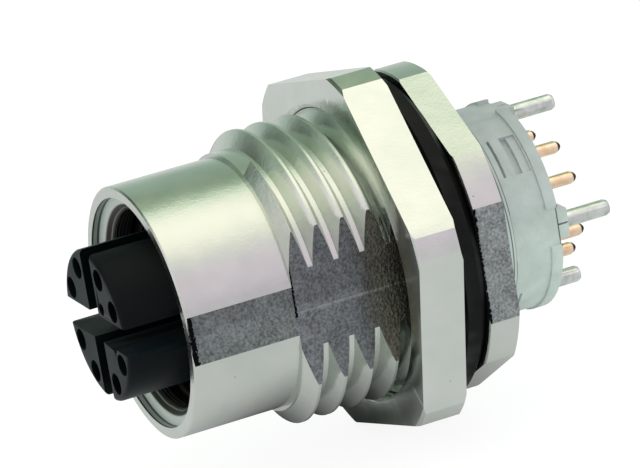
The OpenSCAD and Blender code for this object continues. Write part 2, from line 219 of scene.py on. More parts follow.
def finishPiece(piece, body, material, smoothAngle=30, evenNormals=False):
    startEditing(piece)
    bpy.ops.transform.resize(value=[metresPerMm] * 3, center_override=(0, 0, 0))
    stopEditing()
    pickOnly(piece)
    bpy.ops.object.shade_smooth_by_angle(angle=math.radians(smoothAngle))
    if evenNormals:
        # flat faces stay flat up to their rounded edges
        even = piece.modifiers.new("even", "WEIGHTED_NORMAL")
        even.keep_sharp = True
        applyAll(piece)
    piece.data.materials.clear()
    piece.data.materials.append(material)
    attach(piece, body)


def linear(hexColour):
    # sRGB hex to the linear values that the shader nodes take
    parts = [int(hexColour[at:at + 2], 16) / 255 for at in (1, 3, 5)]
    return [p / 12.92 if p <= 0.04045 else ((p + 0.055) / 1.055) ** 2.4 for p in parts] + [1]


def addNode(tree, kind, settings=None, **links):
    # links name an input, or count it as in i0, and give a value or the socket that feeds it
    node = tree.nodes.new(kind)
    for key, value in (settings or {}).items():
        setattr(node, key, value)
    for key, value in links.items():
        target = node.inputs[int(key[1:])] if key[0] == "i" and key[1:].isdigit() \
            else node.inputs[key.replace("_", " ")]
        if isinstance(value, bpy.types.NodeSocket):
            tree.links.new(value, target)
        else:
            target.default_value = value
    return node


def newMaterial(name):
    material = bpy.data.materials.new(name)
    material.use_nodes = True
    tree = material.node_tree
    tree.nodes.clear()
    return material, tree


def perMetre(size):
    # scale of a texture whose features are so many mm across
    return 1 / (size * metresPerMm)


def fillRamp(node, stops):
    ramp = node.color_ramp
    while len(ramp.elements) < len(stops):
        ramp.elements.new(0.5)
    for element, (place, colour) in zip(ramp.elements, stops):
        element.position = place
        element.color = colour
    return node


studio = {
    "floorDrop": 0.12,       # mm below the lowest corner
    "floorSize": 4000,       # mm
    "floorColour": "#e7f2ea",
    "floorWhite": 1.12,
    "floorWhiteSeen": 0.8,       # share of white that the camera sees, the rest is paper with its shadow
    "paintedShadowMirrored": "#606261",  # what metal shows of the paper in the painted shadow under the nut
    "floorWhiteMirrored": 0.66,  # share of white that metal shows of the paper round that painted shadow
    "shadowAt": (-4, -4),        # mm, as are its core and reach
    "shadowCore": 2,
    "shadowReach": 15,
    # what stands round the set: degrees from +X over the top to -X, colour, strength
    "walls": [
        (-20, "#dad4da", 1.0),
        (4, "#ddd4dd", 1.0),
        (9, "#e7dae6", 1.0),
        (21, "#f9ebf8", 1.0),
        (33, "#fdebf8", 1.0),
        (45, "#fff6fc", 1.0),
        (56, "#fffaf0", 1.15),
        (67, "#fffaeb", 1.45),
        (81, "#fff9eb", 1.58),
        (96, "#fff9e9", 1.5),
        (107, "#f0ffe6", 1.15),
        (116, "#b3c7ac", 1.0),
        (129, "#a1b39b", 1.0),
        (141, "#a7bcaa", 1.0),
        (153, "#aabfaf", 1.0),
        (165, "#b5c8bc", 1.0),
        (177, "#dde5de", 1.0),
        (190, "#e8ede8", 1.0),
    ],
    "endColour": "#fff6fb",
    "endStrength": 1.12,
    "endFrom": 0.72,         # how far a direction points along the axis where the end walls start
    "endFull": 0.97,
    # a dark card beyond the plug side, which the thread's front flanks mirror
    "cardTowards": (-0.78, -0.58, 0.23),   # a direction
    "cardColour": "#4f5a4e",
    "cardSpread": 19,        # degrees from its middle to its soft edge
    "fillColour": "#e8eeec",
    "fillShare": 0.92,       # how far the fill evens out the light on matt surfaces
}


def brightened(hexColour, strength):
    return [value * strength for value in linear(hexColour)[:3]] + [1]


def makeStudio():
    low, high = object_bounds()
    size = studio["floorSize"] * metresPerMm
    bpy.ops.object.select_all(action="DESELECT")
    bpy.ops.mesh.primitive_plane_add(size=size, location=(0, 0, low.z - studio["floorDrop"] * metresPerMm))
    floor = bpy.context.object
    floor.name = "studioFloor"
    floor.data.materials.append(makeFloorPaper())

    world = bpy.data.worlds.new("studio")
    bpy.context.scene.world = world
    world.use_nodes = True
    tree = world.node_tree
    tree.nodes.clear()
    place = addNode(tree, "ShaderNodeTexCoord")
    parts = addNode(tree, "ShaderNodeSeparateXYZ", Vector=place.outputs["Generated"])
    turn = addNode(tree, "ShaderNodeMath", {"operation": "ARCTAN2"},
                   i0=parts.outputs["Z"], i1=parts.outputs["X"])
    # -90 to 270 degrees becomes 0 to 1
    fullTurn = 2 * math.pi
    shifted = addNode(tree, "ShaderNodeMath", {"operation": "ADD"},
                      i0=turn.outputs[0], i1=fullTurn + math.pi / 2)
    wrapped = addNode(tree, "ShaderNodeMath", {"operation": "WRAP"},
                      i0=shifted.outputs[0], i1=fullTurn, i2=0)
    share = addNode(tree, "ShaderNodeMath", {"operation": "DIVIDE"}, i0=wrapped.outputs[0], i1=fullTurn)
    stops = [((angle + 90) / 360, brightened(colour, strength))
             for angle, colour, strength in studio["walls"]]
    ramp = fillRamp(addNode(tree, "ShaderNodeValToRGB", Fac=share.outputs[0]), stops)
    # the ends of the set are plain pale walls
    along = addNode(tree, "ShaderNodeMath", {"operation": "ABSOLUTE"}, i0=parts.outputs["Y"])
    endShare = addNode(tree, "ShaderNodeMapRange", {"interpolation_type": "SMOOTHSTEP"},
                       Value=along.outputs[0], From_Min=studio["endFrom"], From_Max=studio["endFull"])
    withEnds = addNode(tree, "ShaderNodeMix", {"data_type": "RGBA"}, Factor=endShare.outputs[0],
                       i6=ramp.outputs["Color"], i7=brightened(studio["endColour"], studio["endStrength"]))
    towards = Vector(studio["cardTowards"]).normalized()
    facing = addNode(tree, "ShaderNodeVectorMath", {"operation": "DOT_PRODUCT"},
                     i0=place.outputs["Generated"], i1=towards)
    cardShare = addNode(tree, "ShaderNodeMapRange", Value=facing.outputs["Value"],
                        From_Min=math.cos(math.radians(studio["cardSpread"])), From_Max=1.0)
    withCard = addNode(tree, "ShaderNodeMix", {"data_type": "RGBA"}, Factor=cardShare.outputs[0],
                       i6=withEnds.outputs[2], i7=linear(studio["cardColour"]))
    path = addNode(tree, "ShaderNodeLightPath")
    fillShare = addNode(tree, "ShaderNodeMath", {"operation": "MULTIPLY"},
                        i0=path.outputs["Is Diffuse Ray"], i1=studio["fillShare"])
    withFill = addNode(tree, "ShaderNodeMix", {"data_type": "RGBA"}, Factor=fillShare.outputs[0],
                       i6=withCard.outputs[2], i7=linear(studio["fillColour"]))
    walls = addNode(tree, "ShaderNodeBackground", Color=withFill.outputs[2], Strength=1.0)
    white = addNode(tree, "ShaderNodeBackground", Color=(1, 1, 1, 1), Strength=1.0)
    seen = addNode(tree, "ShaderNodeMath", {"operation": "MAXIMUM"},
                   i0=path.outputs["Is Camera Ray"], i1=path.outputs["Is Transmission Ray"])
    both = addNode(tree, "ShaderNodeMixShader", i0=seen.outputs[0], i1=walls.outputs[0], i2=white.outputs[0])
    addNode(tree, "ShaderNodeOutputWorld", Surface=both.outputs[0])
    print("studio made")


def makeFloorPaper():
    # matt white background paper, which metal sees with a painted shadow under the nut
    material, tree = newMaterial("studioPaper")
    path = addNode(tree, "ShaderNodeLightPath")
    glossy = path.outputs["Is Glossy Ray"]
    colour = addNode(tree, "ShaderNodeMix", {"data_type": "RGBA"}, Factor=glossy,
                     i6=linear(studio["floorColour"]), i7=linear(studio["paintedShadowMirrored"]))
    paper = addNode(tree, "ShaderNodeBsdfDiffuse", Color=colour.outputs[2])
    white = addNode(tree, "ShaderNodeEmission", Color=(1, 1, 1, 1), Strength=studio["floorWhite"])
    seen = addNode(tree, "ShaderNodeMath", {"operation": "MAXIMUM"},
                   i0=path.outputs["Is Camera Ray"], i1=path.outputs["Is Transmission Ray"])
    seenShare = addNode(tree, "ShaderNodeMath", {"operation": "MULTIPLY"},
                        i0=seen.outputs[0], i1=studio["floorWhiteSeen"])
    # painted shadow: what metal sees of the paper darkens towards shadowAt and lightens out to shadowReach
    place = addNode(tree, "ShaderNodeTexCoord")
    middle = Vector((*studio["shadowAt"], 0)) * metresPerMm
    away = addNode(tree, "ShaderNodeVectorMath", {"operation": "DISTANCE"},
                   i0=place.outputs["Object"], i1=middle)
    far = addNode(tree, "ShaderNodeMapRange", {"interpolation_type": "SMOOTHSTEP"},
                  Value=away.outputs["Value"],
                  From_Min=studio["shadowCore"] * metresPerMm, From_Max=studio["shadowReach"] * metresPerMm,
                  To_Max=studio["floorWhiteMirrored"])
    mirrored = addNode(tree, "ShaderNodeMath", {"operation": "MULTIPLY"}, i0=glossy, i1=far.outputs[0])
    share = addNode(tree, "ShaderNodeMath", {"operation": "MAXIMUM"},
                    i0=seenShare.outputs[0], i1=mirrored.outputs[0])
    both = addNode(tree, "ShaderNodeMixShader", i0=share.outputs[0], i1=paper.outputs[0], i2=white.outputs[0])
    addNode(tree, "ShaderNodeOutputMaterial", Surface=both.outputs[0])
    return material


camera = {
    "azimuth": 68.468,             # degrees, as are the next two
    "elevation": 17.517,
    "roll": 9.618,
    "distance": 269.06,            # mm
    "aim": (-2.071, -4.446, 0.702),
    "lens": 281.25,
    "sensor": 36,
    "nearest": 0.01,               # m
    "farthest": 20,
}


def makeCamera():
    turn = math.radians(camera["azimuth"])
    lift = math.radians(camera["elevation"])
    roll = math.radians(camera["roll"])
    forward = Vector((-math.sin(turn) * math.cos(lift), math.cos(turn) * math.cos(lift), -math.sin(lift)))
    levelRight = Vector((math.cos(turn), math.sin(turn), 0))
    levelUp = levelRight.cross(forward)
    right = levelRight * math.cos(roll) - levelUp * math.sin(roll)
    up = levelUp * math.cos(roll) + levelRight * math.sin(roll)
    bpy.ops.object.camera_add()
    view = bpy.context.object
    view.name = "camera"
    view.data.lens = camera["lens"]
    view.data.sensor_width = camera["sensor"]
    view.data.clip_start = camera["nearest"]
    view.data.clip_end = camera["farthest"]
    place = (Vector(camera["aim"]) - forward * camera["distance"]) * metresPerMm
    matrix = view.matrix_world.copy()
    for row in range(3):
        matrix[row][0], matrix[row][1], matrix[row][2] = right[row], up[row], -forward[row]
        matrix[row][3] = place[row]
    view.matrix_world = matrix
    bpy.context.scene.camera = view
    print("camera placed")


bpy.context.scene.view_settings.view_transform = "Standard"
makeCamera()
makeStudio()


nickelFinish = {
    "housing": ("#c7cec7", "#d0d6cf"),
    "nut": ("#d0d7d0", "#d9dfd8"),
    "cloudSize": 2.6,       # mm, as are the sizes below
    "roughSmooth": 0.15,
    "roughMatt": 0.27,
    "peelSize": 0.8,
    "peelHeight": 0.012,
    "grainSize": 0.13,      # drawn coarser than the real grain of some 0.03 mm, which would not show
    "grainHeight": 0.008,
    "pitSpacing": 0.9,
    "pitRadius": 0.07,      # share of the spacing
    "pitColour": "#979e98",
    "pitShare": 0.3,
}


def makeSatinNickel(name, tones):
    # satin nickel plate over a machined casting or brass: clear but soft mirror images, whose borders
    # break up into fine speckle over the grain, slow clouds of gloss, and a few tiny pits
    finish = nickelFinish
    material, tree = newMaterial(name)
    place = addNode(tree, "ShaderNodeTexCoord").outputs["Object"]
    cloud = addNode(tree, "ShaderNodeTexNoise", Vector=place, Scale=perMetre(finish["cloudSize"]), Detail=3.0)
    tone = fillRamp(addNode(tree, "ShaderNodeValToRGB", Fac=cloud.outputs[0]),
                    [(0.35, linear(tones[0])), (0.65, linear(tones[1]))])
    rough = addNode(tree, "ShaderNodeMapRange", Value=cloud.outputs[0],
                    From_Min=noiseLow, From_Max=noiseHigh,
                    To_Min=finish["roughSmooth"], To_Max=finish["roughMatt"])
    cells = addNode(tree, "ShaderNodeTexVoronoi", Vector=place, Scale=perMetre(finish["pitSpacing"]))
    pick = addNode(tree, "ShaderNodeSeparateColor", Color=cells.outputs["Color"])
    chosen = addNode(tree, "ShaderNodeMath", {"operation": "LESS_THAN"},
                     i0=pick.outputs[0], i1=finish["pitShare"])
    near = addNode(tree, "ShaderNodeMapRange", Value=cells.outputs["Distance"],
                   From_Min=finish["pitRadius"], From_Max=0.4 * finish["pitRadius"])
    pit = addNode(tree, "ShaderNodeMath", {"operation": "MULTIPLY"},
                  i0=near.outputs[0], i1=chosen.outputs[0])
    colour = addNode(tree, "ShaderNodeMix", {"data_type": "RGBA"}, Factor=pit.outputs[0],
                     i6=tone.outputs["Color"], i7=linear(finish["pitColour"]))
    peel = addNode(tree, "ShaderNodeTexNoise", Vector=place, Scale=perMetre(finish["peelSize"]), Detail=1.0)
    grain = addNode(tree, "ShaderNodeTexNoise", Vector=place, Scale=perMetre(finish["grainSize"]), Detail=2.0)
    wavy = addNode(tree, "ShaderNodeBump", Height=peel.outputs[0], Strength=1.0,
                   Distance=finish["peelHeight"] * metresPerMm)
    speckled = addNode(tree, "ShaderNodeBump", Height=grain.outputs[0], Strength=1.0,
                       Distance=finish["grainHeight"] * metresPerMm, Normal=wavy.outputs[0])
    shader = addNode(tree, "ShaderNodeBsdfPrincipled", Base_Color=colour.outputs[2], Metallic=1.0,
                     Roughness=rough.outputs[0], Normal=speckled.outputs[0])
    addNode(tree, "ShaderNodeOutputMaterial", Surface=shader.outputs[0])
    return material


castFinish = {
    # base colour along the axis: place, colour; painted shade darkens and browns it at -5, next to the nut
    "tones": [
        (-16.0, "#7d8484"),
        (-10.2, "#828989"),
        (-9.8, "#7e8386"),
        (-6.5, "#747a7c"),
        (-5.7, "#62645f"),
        (-4.9, "#6b6b60"),
        (-1.7, "#6b6b60"),
        (0.0, "#9ba2a2"),
    ],
    "upperShade": 0.83,     # the flat is drawn darker above the axis, within the thread
    "upperFrom": 0.6,       # mm above the axis, as are the sizes below in mm
    "threadUntil": -1.5,    # where the neck starts along the axis
    "patchSize": 1.1,
    "grainSize": 0.14,      # drawn coarser than the real grain of some 0.06 mm, which would not show
    "grainShare": 0.62,     # of the grain, the rest is patches
    "mottleNoise": (0.36, 0.64),
    "mottle": (0.55, 1.38),
    "grainHeight": 0.09,
    "seamAt": -0.12,
    "seamWidth": 0.1,
    "seamColour": "#9ba2a3",
    "seamNoise": (0.4, 0.6),
    "seamWorn": (0.15, 0.85),
    # painted shade: the colour of the dark lines along the edges
    "paintedEdgeShade": "#101113",
    # painted shade in dark lines behind the rim, the thread's front and the flange's face: how far behind,
    # half width, and how low on the flat they reach
    "rimEdge": (0.17, 0.17, -9),
    "threadEdge": (0.02, 0.07, -0.35),
    "flangeEdge": (0.05, 0.13, -9),
    "ragged": (0.3, 1.5),   # the least and most of an edge's half width
    "roughness": 0.48,
}


def makeCastZinc(name, rim, threadFront):
    # nickel plate over zinc as it was cast: dull and grainy, in grey patches, with the thin bright line
    # where the die halves met, and painted shade in dark ragged lines where the turned surfaces start
    finish = castFinish
    material, tree = newMaterial(name)
    place = addNode(tree, "ShaderNodeTexCoord").outputs["Object"]
    parts = addNode(tree, "ShaderNodeSeparateXYZ", Vector=place)
    along, height = parts.outputs["Y"], parts.outputs["Z"]
    first, last = finish["tones"][0][0], finish["tones"][-1][0]
    share = addNode(tree, "ShaderNodeMapRange", Value=along,
                    From_Min=first * metresPerMm, From_Max=last * metresPerMm)
    stops = [((at - first) / (last - first), linear(colour)) for at, colour in finish["tones"]]
    tone = fillRamp(addNode(tree, "ShaderNodeValToRGB", Fac=share.outputs[0]), stops)
    # mottled by large soft patches and a fine grain
    patch = addNode(tree, "ShaderNodeTexNoise", Vector=place, Scale=perMetre(finish["patchSize"]), Detail=5.0,
                    Roughness=0.7)
    grain = addNode(tree, "ShaderNodeTexNoise", Vector=place, Scale=perMetre(finish["grainSize"]), Detail=2.0)
    mixed = addNode(tree, "ShaderNodeMix", {"data_type": "FLOAT"}, i0=finish["grainShare"],
                    i2=patch.outputs[0], i3=grain.outputs[0])
    mottle = addNode(tree, "ShaderNodeMapRange", Value=mixed.outputs[0],
                     From_Min=finish["mottleNoise"][0], From_Max=finish["mottleNoise"][1],
                     To_Min=finish["mottle"][0], To_Max=finish["mottle"][1])
    upper = addNode(tree, "ShaderNodeMapRange", {"interpolation_type": "SMOOTHSTEP"}, Value=height,
                    From_Min=0.0, From_Max=finish["upperFrom"] * metresPerMm,
                    To_Min=1.0, To_Max=finish["upperShade"])
    inThread = addNode(tree, "ShaderNodeMath", {"operation": "LESS_THAN"},
                       i0=along, i1=finish["threadUntil"] * metresPerMm)
    shade = addNode(tree, "ShaderNodeMix", {"data_type": "FLOAT"}, i0=inThread.outputs[0], i2=1.0,
                    i3=upper.outputs[0])
    level = addNode(tree, "ShaderNodeMath", {"operation": "MULTIPLY"},
                    i0=mottle.outputs[0], i1=shade.outputs[0])
    colour = addNode(tree, "ShaderNodeVectorMath", {"operation": "SCALE"}, i0=tone.outputs["Color"],
                     Scale=level.outputs[0])
    # the die line runs along the axis and is worn in places
    fromSeam = addNode(tree, "ShaderNodeMath", {"operation": "SUBTRACT"},
                       i0=height, i1=finish["seamAt"] * metresPerMm)
    away = addNode(tree, "ShaderNodeMath", {"operation": "ABSOLUTE"}, i0=fromSeam.outputs[0])
    seamWidth = finish["seamWidth"] * metresPerMm
    seam = addNode(tree, "ShaderNodeMapRange", Value=away.outputs[0],
                   From_Min=seamWidth, From_Max=0.3 * seamWidth)
    worn = addNode(tree, "ShaderNodeMapRange", Value=patch.outputs[0],
                   From_Min=finish["seamNoise"][0], From_Max=finish["seamNoise"][1],
                   To_Min=finish["seamWorn"][0], To_Max=finish["seamWorn"][1])
    seamShare = addNode(tree, "ShaderNodeMath", {"operation": "MULTIPLY"},
                        i0=seam.outputs[0], i1=worn.outputs[0])
    pastSleeve = addNode(tree, "ShaderNodeMath", {"operation": "GREATER_THAN"},
                         i0=along, i1=threadFront * metresPerMm)
    onThread = addNode(tree, "ShaderNodeMath", {"operation": "MULTIPLY"},
                       i0=pastSleeve.outputs[0], i1=inThread.outputs[0])
    seamHere = addNode(tree, "ShaderNodeMath", {"operation": "MULTIPLY"},
                       i0=seamShare.outputs[0], i1=onThread.outputs[0])
    withSeam = addNode(tree, "ShaderNodeMix", {"data_type": "RGBA"}, Factor=seamHere.outputs[0],
                       i6=colour.outputs["Vector"], i7=linear(finish["seamColour"]))
    # the grain breaks up the painted shade along the edges
    ragged = addNode(tree, "ShaderNodeMapRange", Value=grain.outputs[0],
                     From_Min=noiseLow, From_Max=noiseHigh,
                     To_Min=finish["ragged"][0], To_Max=finish["ragged"][1])
    atPaintedShade = None
    for face, (behind, half, lowest) in ((rim, finish["rimEdge"]), (threadFront, finish["threadEdge"]),
                                         (0, finish["flangeEdge"])):
        past = addNode(tree, "ShaderNodeMath", {"operation": "SUBTRACT"},
                       i0=along, i1=(face + behind) * metresPerMm)
        apart = addNode(tree, "ShaderNodeMath", {"operation": "ABSOLUTE"}, i0=past.outputs[0])
        reach = addNode(tree, "ShaderNodeMath", {"operation": "MULTIPLY"},
                        i0=ragged.outputs[0], i1=half * metresPerMm)
        inside = addNode(tree, "ShaderNodeMath", {"operation": "LESS_THAN"},
                         i0=apart.outputs[0], i1=reach.outputs[0])
        above = addNode(tree, "ShaderNodeMath", {"operation": "GREATER_THAN"},
                        i0=height, i1=lowest * metresPerMm)
        edge = addNode(tree, "ShaderNodeMath", {"operation": "MULTIPLY"},
                       i0=inside.outputs[0], i1=above.outputs[0])
        if atPaintedShade:
            edge = addNode(tree, "ShaderNodeMath", {"operation": "MAXIMUM"},
                           i0=atPaintedShade.outputs[0], i1=edge.outputs[0])
        atPaintedShade = edge
    withPaintedShade = addNode(tree, "ShaderNodeMix", {"data_type": "RGBA"}, Factor=atPaintedShade.outputs[0],
                        i6=withSeam.outputs[2], i7=linear(finish["paintedEdgeShade"]))
    bump = addNode(tree, "ShaderNodeBump", Height=mixed.outputs[0], Strength=1.0,
                   Distance=finish["grainHeight"] * metresPerMm)
    shader = addNode(tree, "ShaderNodeBsdfPrincipled", Base_Color=withPaintedShade.outputs[2], Metallic=1.0,
                     Roughness=finish["roughness"], Normal=bump.outputs[0])
    addNode(tree, "ShaderNodeOutputMaterial", Surface=shader.outputs[0])
    return material


boreFinish = {
    # base colour by the depth behind the rim in mm: painted shade at the edges to the step, pale painted
    # highlights on the step and ledge, then painted shade deepening into the thread's first turns
    "tones": [
        (0.0, "#3a3d39"),
        (0.08, "#4d514c"),
        (0.13, "#c3cec7"),
        (0.3, "#b6c1ba"),
        (0.34, "#3c403c"),
        (0.42, "#5c615d"),
        (0.46, "#e3ebe7"),
        (0.58, "#dfe6e2"),
        (0.61, "#77775f"),
        (0.65, "#20201d"),
        (0.8, "#181816"),
        (3.0, "#121211"),
    ],
    # painted highlight: the colour of the pale rings on the thread's turns
    "line": "#8d8e86",
    "linesFrom": 0.75,      # mm behind the rim
    "linesTo": 2.6,
    "lineSpacing": 0.19,    # mm, as are the next two
    "wobble": 0.12,
    "wobbleSize": 1.5,
    "metallic": 0.35,
    "roughness": 0.42,
}


def makeBoreWithPaintedShade(name, rim):
    # nickel-plated bore as it came off the tool, with painted shade that turns it nearly black behind the
    # step, and painted highlights in thin pale rings where the thread's turns would catch the light
    finish = boreFinish
    material, tree = newMaterial(name)
    place = addNode(tree, "ShaderNodeTexCoord").outputs["Object"]
    along = addNode(tree, "ShaderNodeSeparateXYZ", Vector=place).outputs["Y"]
    deepest = finish["tones"][-1][0]
    share = addNode(tree, "ShaderNodeMapRange", Value=along,
                    From_Min=rim * metresPerMm, From_Max=(rim + deepest) * metresPerMm)
    stops = [(depth / deepest, linear(colour)) for depth, colour in finish["tones"]]
    tone = fillRamp(addNode(tree, "ShaderNodeValToRGB", Fac=share.outputs[0]), stops)
    wobble = addNode(tree, "ShaderNodeTexNoise", Vector=place, Scale=perMetre(finish["wobbleSize"]),
                     Detail=2.0)
    shift = addNode(tree, "ShaderNodeMath", {"operation": "MULTIPLY"},
                    i0=wobble.outputs[0], i1=finish["wobble"] * metresPerMm)
    moved = addNode(tree, "ShaderNodeMath", {"operation": "ADD"}, i0=along, i1=shift.outputs[0])
    turns = addNode(tree, "ShaderNodeMath", {"operation": "MULTIPLY"},
                    i0=moved.outputs[0], i1=2 * math.pi * perMetre(finish["lineSpacing"]))
    wave = addNode(tree, "ShaderNodeMath", {"operation": "SINE"}, i0=turns.outputs[0])
    line = addNode(tree, "ShaderNodeMapRange", Value=wave.outputs[0], From_Min=0.3, From_Max=1.0)
    firstLine = (rim + finish["linesFrom"]) * metresPerMm
    lastLine = (rim + finish["linesTo"]) * metresPerMm
    starts = addNode(tree, "ShaderNodeMath", {"operation": "GREATER_THAN"}, i0=along, i1=firstLine)
    fading = addNode(tree, "ShaderNodeMapRange", Value=along, From_Min=firstLine, From_Max=lastLine,
                     To_Min=1.0, To_Max=0.0)
    inside = addNode(tree, "ShaderNodeMath", {"operation": "MULTIPLY"},
                     i0=starts.outputs[0], i1=fading.outputs[0])
    lineShare = addNode(tree, "ShaderNodeMath", {"operation": "MULTIPLY"},
                        i0=line.outputs[0], i1=inside.outputs[0])
    colour = addNode(tree, "ShaderNodeMix", {"data_type": "RGBA"}, Factor=lineShare.outputs[0],
                     i6=tone.outputs["Color"], i7=linear(finish["line"]))
    shader = addNode(tree, "ShaderNodeBsdfPrincipled", Base_Color=colour.outputs[2],
                     Metallic=finish["metallic"], Roughness=finish["roughness"])
    addNode(tree, "ShaderNodeOutputMaterial", Surface=shader.outputs[0])
    return material


nitrileFinish = {
    "tones": ("#070a09", "#0d1210"),
    "cloudSize": 2.2,       # mm
    "roughness": 0.5,
    "glossChange": 0.05,
    "specular": 0.16,
    "haze": 0.0,
    "grainSize": 0.25,      # mm
    "grainHeight": 0.02,    # mm
}

polyamideFinish = {
    "tones": ("#03080a", "#070f11"),
    "cloudSize": 2.2,       # mm
    "roughness": 0.42,
    "glossChange": 0.05,
    "specular": 0.09,
    "haze": 0.08,
    "grainSize": 0.12,      # mm
    "grainHeight": 0.004,   # mm
}


def makeMouldedBlack(name, finish):
    # moulded from pigmented stock: near black, an even fine grain, a slow change of gloss and, on the
    # polyamide, a faint cold haze where it is seen edgeways
    material, tree = newMaterial(name)
    place = addNode(tree, "ShaderNodeTexCoord").outputs["Object"]
    cloud = addNode(tree, "ShaderNodeTexNoise", Vector=place, Scale=perMetre(finish["cloudSize"]), Detail=3.0)
    tone = fillRamp(addNode(tree, "ShaderNodeValToRGB", Fac=cloud.outputs[0]),
                    [(0.35, linear(finish["tones"][0])), (0.7, linear(finish["tones"][1]))])
    rough = addNode(tree, "ShaderNodeMapRange", Value=cloud.outputs[0],
                    From_Min=noiseLow, From_Max=noiseHigh,
                    To_Min=finish["roughness"] - finish["glossChange"],
                    To_Max=finish["roughness"] + finish["glossChange"])
    grain = addNode(tree, "ShaderNodeTexNoise", Vector=place, Scale=perMetre(finish["grainSize"]), Detail=3.0)
    bump = addNode(tree, "ShaderNodeBump", Height=grain.outputs[0], Strength=1.0,
                   Distance=finish["grainHeight"] * metresPerMm)
    shader = addNode(tree, "ShaderNodeBsdfPrincipled", Base_Color=tone.outputs["Color"],
                     Roughness=rough.outputs[0], Specular_IOR_Level=finish["specular"],
                     Sheen_Weight=finish["haze"], Sheen_Roughness=0.45, Sheen_Tint=linear("#93c4cc"),
                     Normal=bump.outputs[0])
    addNode(tree, "ShaderNodeOutputMaterial", Surface=shader.outputs[0])
    return material


tinFinish = {
    "tones": ("#b3bcba", "#bfc7c6"),
    "metallic": 0.15,
    "roughness": 0.5,
    "patchSize": 1.2,       # mm
    "grainSize": 0.2,       # mm
    "grainHeight": 0.015,   # mm
    # painted shade in dark lines along the shoulder's rear edge and the foot of the split blocks: place along
    # the axis, half width, how far it reaches above and below the axis, colour
    "paintedShadeLines": [(3.37, 0.045, 9, "#3d4843"), (3.17, 0.04, 9, "#66736d"), (6.08, 0.045, 1.15, "#5a655f")],
    "noPaintedLightAbove": 5.5,        # mm above the axis, where the painted light has faded out
    "fullPaintedLightBelow": -3.0,
    "paintedLowerLight": 1.5,
}


def makeMattTin(name):
    # tin plated dull over a casting: soft pale grey, cloudy, with hardly a mirror image in it, with painted
    # light that brightens it towards the bottom
    finish = tinFinish
    material, tree = newMaterial(name)
    place = addNode(tree, "ShaderNodeTexCoord").outputs["Object"]
    patch = addNode(tree, "ShaderNodeTexNoise", Vector=place, Scale=perMetre(finish["patchSize"]), Detail=4.0)
    tone = fillRamp(addNode(tree, "ShaderNodeValToRGB", Fac=patch.outputs[0]),
                    [(0.35, linear(finish["tones"][0])), (0.65, linear(finish["tones"][1]))])
    grain = addNode(tree, "ShaderNodeTexNoise", Vector=place, Scale=perMetre(finish["grainSize"]), Detail=2.0)
    bump = addNode(tree, "ShaderNodeBump", Height=grain.outputs[0], Strength=1.0,
                   Distance=finish["grainHeight"] * metresPerMm)
    parts = addNode(tree, "ShaderNodeSeparateXYZ", Vector=place)
    along = parts.outputs["Y"]
    # painted light: drawn brighter towards the bottom, fading out higher up
    lighter = addNode(tree, "ShaderNodeMapRange", {"interpolation_type": "SMOOTHSTEP"},
                      Value=parts.outputs["Z"], From_Min=finish["fullPaintedLightBelow"] * metresPerMm,
                      From_Max=finish["noPaintedLightAbove"] * metresPerMm, To_Min=finish["paintedLowerLight"], To_Max=1.0)
    shaded = addNode(tree, "ShaderNodeVectorMath", {"operation": "SCALE"}, i0=tone.outputs["Color"],
                     Scale=lighter.outputs[0])
    colour = shaded.outputs["Vector"]
    aside = addNode(tree, "ShaderNodeMath", {"operation": "ABSOLUTE"}, i0=parts.outputs["Z"])
    # painted shade: dark lines along the ring's steps
    for middle, half, reach, dark in finish["paintedShadeLines"]:
        past = addNode(tree, "ShaderNodeMath", {"operation": "SUBTRACT"}, i0=along, i1=middle * metresPerMm)
        apart = addNode(tree, "ShaderNodeMath", {"operation": "ABSOLUTE"}, i0=past.outputs[0])
        onLine = addNode(tree, "ShaderNodeMapRange", Value=apart.outputs[0],
                         From_Min=half * metresPerMm, From_Max=0.6 * half * metresPerMm)
        within = addNode(tree, "ShaderNodeMath", {"operation": "LESS_THAN"},
                         i0=aside.outputs[0], i1=reach * metresPerMm)
        both = addNode(tree, "ShaderNodeMath", {"operation": "MULTIPLY"},
                       i0=onLine.outputs[0], i1=within.outputs[0])
        drawn = addNode(tree, "ShaderNodeMix", {"data_type": "RGBA"}, Factor=both.outputs[0],
                        i6=colour, i7=linear(dark))
        colour = drawn.outputs[2]
    shader = addNode(tree, "ShaderNodeBsdfPrincipled", Base_Color=colour,
                     Metallic=finish["metallic"], Roughness=finish["roughness"], Normal=bump.outputs[0])
    addNode(tree, "ShaderNodeOutputMaterial", Surface=shader.outputs[0])
    return material


pinFinish = {
    "gold": ("#edcba5", "#f8e2c4"),
    "goldRoughness": 0.28,
    "tin": ("#bfc9c4", "#dde4df"),
    "tinRoughness": 0.36,
    "stainSize": 0.5,       # mm
    "darkEndLength": 0.23,      # mm, how far the end is drawn dark
    "darkEndBlend": 0.04,
    "darkEndColour": "#1c1b18",
    "turnPitch": 0.08,      # mm from one fine turning mark to the next
    "markHeight": 0.002,
}


